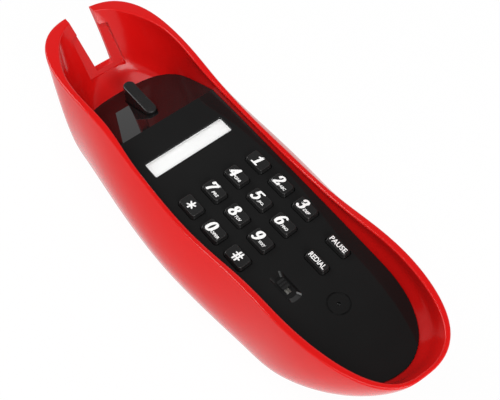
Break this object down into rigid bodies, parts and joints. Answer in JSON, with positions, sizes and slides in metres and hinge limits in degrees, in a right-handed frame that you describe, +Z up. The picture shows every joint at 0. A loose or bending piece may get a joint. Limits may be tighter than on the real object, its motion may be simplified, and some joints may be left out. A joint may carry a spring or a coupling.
{
  "type": "novelty shaped telephone",
  "caption": "Shoe-shaped telephone handset lying on its back, with push buttons on a panel in the sole, a sprung hook plunger in the heel cup and a notched heel.",
  "frame": {"origin": "on the rest plane (the topline of the shoe), under the middle of the outer box", "axes": "+Z up out of the key panel, +X from the heel to the toe"},
  "size_m": [0.2222, 0.076, 0.066],
  "materials": {
    "red_shell": "glossy moulded red plastic",
    "black_panel": "glossy black plastic",
    "black_keys": "satin black plastic, printed in white",
    "card": "plain white card",
    "clear_cover": "clear plastic",
    "insole": "black flocked pad",
    "white_plastic": "plain moulded plastic",
    "steel": "plain steel",
    "grey_rubber": "moulded rubber",
    "board": "phenolic board",
    "chip": "black moulding",
    "iron": "laminated core",
    "can": "drawn can",
    "jack": "black moulded socket"
  },
  "bodies": {
    "handset": {"rim_shell": "red_shell", "lower_shell": "red_shell", "insole_pad": "insole", "key_panel": "black_panel", "label_card": "card", "label_cover": "clear_cover", "slide_switch": "white_plastic", "hook_spring": "steel", "hook_switch": "white_plastic", "key_mat": "grey_rubber", "circuit_board": "board", "board_screws": "steel", "case_screws": "steel", "dialler_chip": "chip", "line_transformer": "iron", "capacitors": "can", "mic_capsule": "can", "mic_boot": "grey_rubber", "receiver": "can", "receiver_gasket": "grey_rubber", "receiver_clamp": "white_plastic", "ringer_sounder": "chip", "line_jack": "jack"},
    "key_1_body": {"key_1": "black_keys"},
    "key_2_body": {"key_2": "black_keys"},
    "key_3_body": {"key_3": "black_keys"},
    "key_4_body": {"key_4": "black_keys"},
    "key_5_body": {"key_5": "black_keys"},
    "key_6_body": {"key_6": "black_keys"},
    "key_7_body": {"key_7": "black_keys"},
    "key_8_body": {"key_8": "black_keys"},
    "key_9_body": {"key_9": "black_keys"},
    "key_star_body": {"key_star": "black_keys"},
    "key_0_body": {"key_0": "black_keys"},
    "key_hash_body": {"key_hash": "black_keys"},
    "key_pause_body": {"key_pause": "black_keys"},
    "key_redial_body": {"key_redial": "black_keys"},
    "hook_plunger_body": {"hook_plunger": "black_keys"},
    "slider_body": {"slider": "black_keys"}
  },
  "joints": [
    {"name": "key_1_press", "type": "slide", "parent": "handset", "child": "key_1_body", "axis": [0, 0, -1], "range_m": [0, 0.001], "stiffness_N_per_m": 300, "springref_m": -0.0005, "deforming": ["key_mat"]},
    {"name": "key_2_press", "type": "slide", "parent": "handset", "child": "key_2_body", "axis": [0, 0, -1], "range_m": [0, 0.001], "stiffness_N_per_m": 300, "springref_m": -0.0005, "deforming": ["key_mat"]},
    {"name": "key_3_press", "type": "slide", "parent": "handset", "child": "key_3_body", "axis": [0, 0, -1], "range_m": [0, 0.001], "stiffness_N_per_m": 300, "springref_m": -0.0005, "deforming": ["key_mat"]},
    {"name": "key_4_press", "type": "slide", "parent": "handset", "child": "key_4_body", "axis": [0, 0, -1], "range_m": [0, 0.001], "stiffness_N_per_m": 300, "springref_m": -0.0005, "deforming": ["key_mat"]},
    {"name": "key_5_press", "type": "slide", "parent": "handset", "child": "key_5_body", "axis": [0, 0, -1], "range_m": [0, 0.001], "stiffness_N_per_m": 300, "springref_m": -0.0005, "deforming": ["key_mat"]},
    {"name": "key_6_press", "type": "slide", "parent": "handset", "child": "key_6_body", "axis": [0, 0, -1], "range_m": [0, 0.001], "stiffness_N_per_m": 300, "springref_m": -0.0005, "deforming": ["key_mat"]},
    {"name": "key_7_press", "type": "slide", "parent": "handset", "child": "key_7_body", "axis": [0, 0, -1], "range_m": [0, 0.001], "stiffness_N_per_m": 300, "springref_m": -0.0005, "deforming": ["key_mat"]},
    {"name": "key_8_press", "type": "slide", "parent": "handset", "child": "key_8_body", "axis": [0, 0, -1], "range_m": [0, 0.001], "stiffness_N_per_m": 300, "springref_m": -0.0005, "deforming": ["key_mat"]},
    {"name": "key_9_press", "type": "slide", "parent": "handset", "child": "key_9_body", "axis": [0, 0, -1], "range_m": [0, 0.001], "stiffness_N_per_m": 300, "springref_m": -0.0005, "deforming": ["key_mat"]},
    {"name": "key_star_press", "type": "slide", "parent": "handset", "child": "key_star_body", "axis": [0, 0, -1], "range_m": [0, 0.001], "stiffness_N_per_m": 300, "springref_m": -0.0005, "deforming": ["key_mat"]},
    {"name": "key_0_press", "type": "slide", "parent": "handset", "child": "key_0_body", "axis": [0, 0, -1], "range_m": [0, 0.001], "stiffness_N_per_m": 300, "springref_m": -0.0005, "deforming": ["key_mat"]},
    {"name": "key_hash_press", "type": "slide", "parent": "handset", "child": "key_hash_body", "axis": [0, 0, -1], "range_m": [0, 0.001], "stiffness_N_per_m": 300, "springref_m": -0.0005, "deforming": ["key_mat"]},
    {"name": "key_pause_press", "type": "slide", "parent": "handset", "child": "key_pause_body", "axis": [0, 0, -1], "range_m": [0, 0.001], "stiffness_N_per_m": 300, "springref_m": -0.0005, "deforming": ["key_mat"]},
    {"name": "key_redial_press", "type": "slide", "parent": "handset", "child": "key_redial_body", "axis": [0, 0, -1], "range_m": [0, 0.001], "stiffness_N_per_m": 300, "springref_m": -0.0005, "deforming": ["key_mat"]},
    {"name": "hook_press", "type": "slide", "parent": "handset", "child": "hook_plunger_body", "axis": [0, 0, -1], "range_m": [0, 0.0045], "stiffness_N_per_m": 60, "springref_m": -0.004, "deforming": ["hook_spring"]},
    {"name": "slider_slide", "type": "slide", "parent": "handset", "child": "slider_body", "axis": [1, 0, 0], "range_m": [0, 0.003]}
  ]
}
